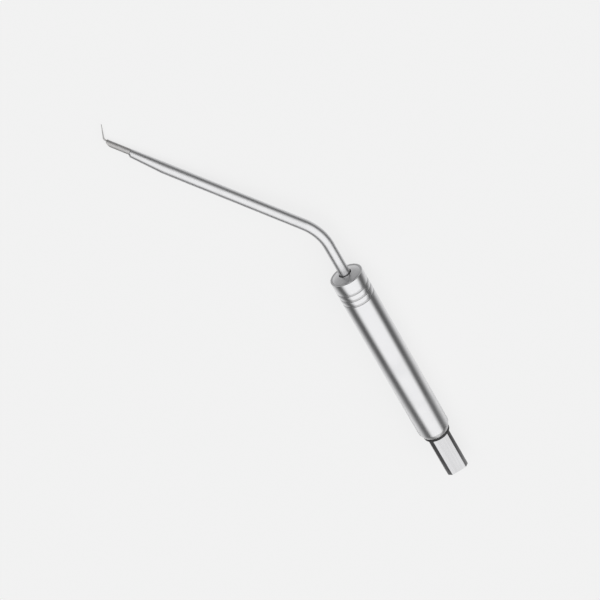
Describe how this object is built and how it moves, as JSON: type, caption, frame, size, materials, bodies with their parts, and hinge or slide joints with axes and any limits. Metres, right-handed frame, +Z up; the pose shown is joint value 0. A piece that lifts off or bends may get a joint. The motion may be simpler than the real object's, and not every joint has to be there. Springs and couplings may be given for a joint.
{
  "type": "ultrasonic scaler",
  "caption": "Slim polished steel pen-type dental scaler handpiece with a bent shank, fine hooked tip and flat-sided rear connector; the tip insert turns in the handle.",
  "frame": {"origin": "on the handle's axis, at the handle's rear end face, where the hose connector seats against the handle", "axes": "+X along the handle's axis towards the front; +Z up from the surface it lies on; +Y towards the working tip, beside the handle"},
  "size_m": [0.1475, 0.0496, 0.01],
  "materials": {
    "polished_steel": "mirror-polished stainless steel",
    "satin_steel": "fine turned stainless steel",
    "ground_steel": "ground and hardened stainless steel",
    "nickel": "rolled nickel strip",
    "enamelled_copper": "enamelled copper wire",
    "gold_plate": "gold-plated contact",
    "black_rubber": "moulded nitrile rubber, semi-matt",
    "cream_plastic": "machined engineering plastic",
    "grey_plastic": "moulded filled plastic",
    "amber_film": "polyimide film"
  },
  "bodies": {
    "handle": {"handle_sleeve": "polished_steel", "nose_ring": "satin_steel", "junction_seal": "black_rubber", "connector_stub": "polished_steel", "contact_insulator": "grey_plastic", "contact_pins": "gold_plate", "water_tube": "satin_steel", "coil_former": "cream_plastic", "drive_coil": "enamelled_copper", "feedback_coil": "enamelled_copper", "coil_wrap": "amber_film", "front_former_seal": "black_rubber", "water_tube_seal": "black_rubber", "rear_bush": "cream_plastic", "front_bush": "cream_plastic", "drive_lead_start": "enamelled_copper", "drive_lead_finish": "enamelled_copper", "feedback_lead_start": "enamelled_copper", "feedback_lead_finish": "enamelled_copper"},
    "insert": {"connecting_body": "satin_steel", "nickel_strips": "nickel", "stack_end_cap": "nickel", "rear_insert_seal": "black_rubber", "front_insert_seal": "black_rubber", "bent_shank": "polished_steel", "working_tip": "ground_steel"}
  },
  "joints": [
    {"name": "tip_swivel", "type": "hinge", "parent": "handle", "child": "insert", "pos_m": [0.0546, 0, 0], "axis": [1, 0, 0], "continuous": true}
  ]
}
